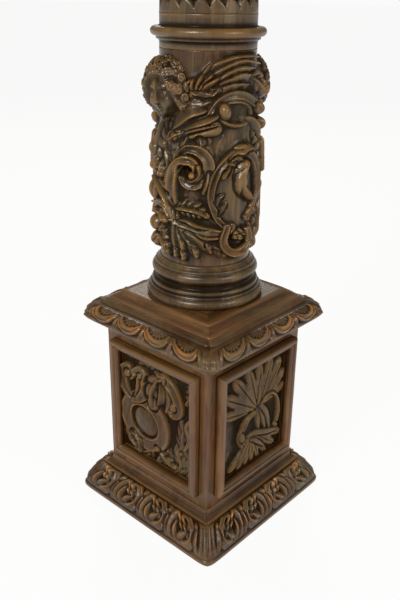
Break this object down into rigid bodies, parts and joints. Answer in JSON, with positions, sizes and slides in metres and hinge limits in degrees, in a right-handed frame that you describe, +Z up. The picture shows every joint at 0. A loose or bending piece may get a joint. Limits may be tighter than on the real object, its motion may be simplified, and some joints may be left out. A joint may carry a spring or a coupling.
{
  "type": "candlestick",
  "caption": "Tall carved wooden candlestick with a square panelled pedestal, a turned and carved column, a leafy capital and a lift-out brass drip pan with a candle cup.",
  "frame": {"origin": "centre of the underside of the pedestal, on the floor", "axes": "+Z up along the column; the pedestal's sides face -Y (front, leaf panel), +X, +Y and -X"},
  "size_m": [0.28, 0.28, 1.3146],
  "materials": {
    "walnut": "waxed dark walnut, satin",
    "carved_walnut": "waxed dark walnut, worn lighter on the high points",
    "plain_wood": "unpolished, matt",
    "brass": "aged brass, satin",
    "steel": "plain steel, slightly dull"
  },
  "bodies": {
    "stand": {"base_board": "plain_wood", "cap_board": "plain_wood", "plinth_board": "walnut", "cap_screws": "steel", "base_moulding_front": "carved_walnut", "base_moulding_right": "carved_walnut", "base_moulding_back": "carved_walnut", "base_moulding_left": "carved_walnut", "dado_cove_front": "walnut", "dado_cove_right": "walnut", "dado_cove_back": "walnut", "dado_cove_left": "walnut", "post_front_left": "walnut", "post_front_right": "walnut", "post_back_right": "walnut", "post_back_left": "walnut", "bottom_rail_front": "walnut", "bottom_rail_right": "walnut", "bottom_rail_back": "walnut", "bottom_rail_left": "walnut", "top_rail_front": "walnut", "top_rail_right": "walnut", "top_rail_back": "walnut", "top_rail_left": "walnut", "panel_front": "carved_walnut", "panel_right": "carved_walnut", "panel_back": "carved_walnut", "panel_left": "carved_walnut", "frame_front_top": "walnut", "frame_front_right": "walnut", "frame_front_bottom": "walnut", "frame_front_left": "walnut", "frame_right_top": "walnut", "frame_right_right": "walnut", "frame_right_bottom": "walnut", "frame_right_left": "walnut", "frame_back_top": "walnut", "frame_back_right": "walnut", "frame_back_bottom": "walnut", "frame_back_left": "walnut", "frame_left_top": "walnut", "frame_left_right": "walnut", "frame_left_bottom": "walnut", "frame_left_left": "walnut", "cornice_front": "carved_walnut", "cornice_right": "carved_walnut", "cornice_back": "carved_walnut", "cornice_left": "carved_walnut", "dowels": "plain_wood", "column_base": "walnut", "carved_shaft": "carved_walnut", "collar": "walnut", "fluted_shaft": "walnut", "necking": "walnut", "capital": "carved_walnut", "abacus": "walnut", "drip_dish": "walnut"},
    "pan": {"drip_pan": "brass", "candle_cup": "brass"}
  },
  "joints": [
    {"name": "pan_lift", "type": "slide", "parent": "stand", "child": "pan", "axis": [0, 0, 1], "range_m": [0, 0.06]}
  ]
}
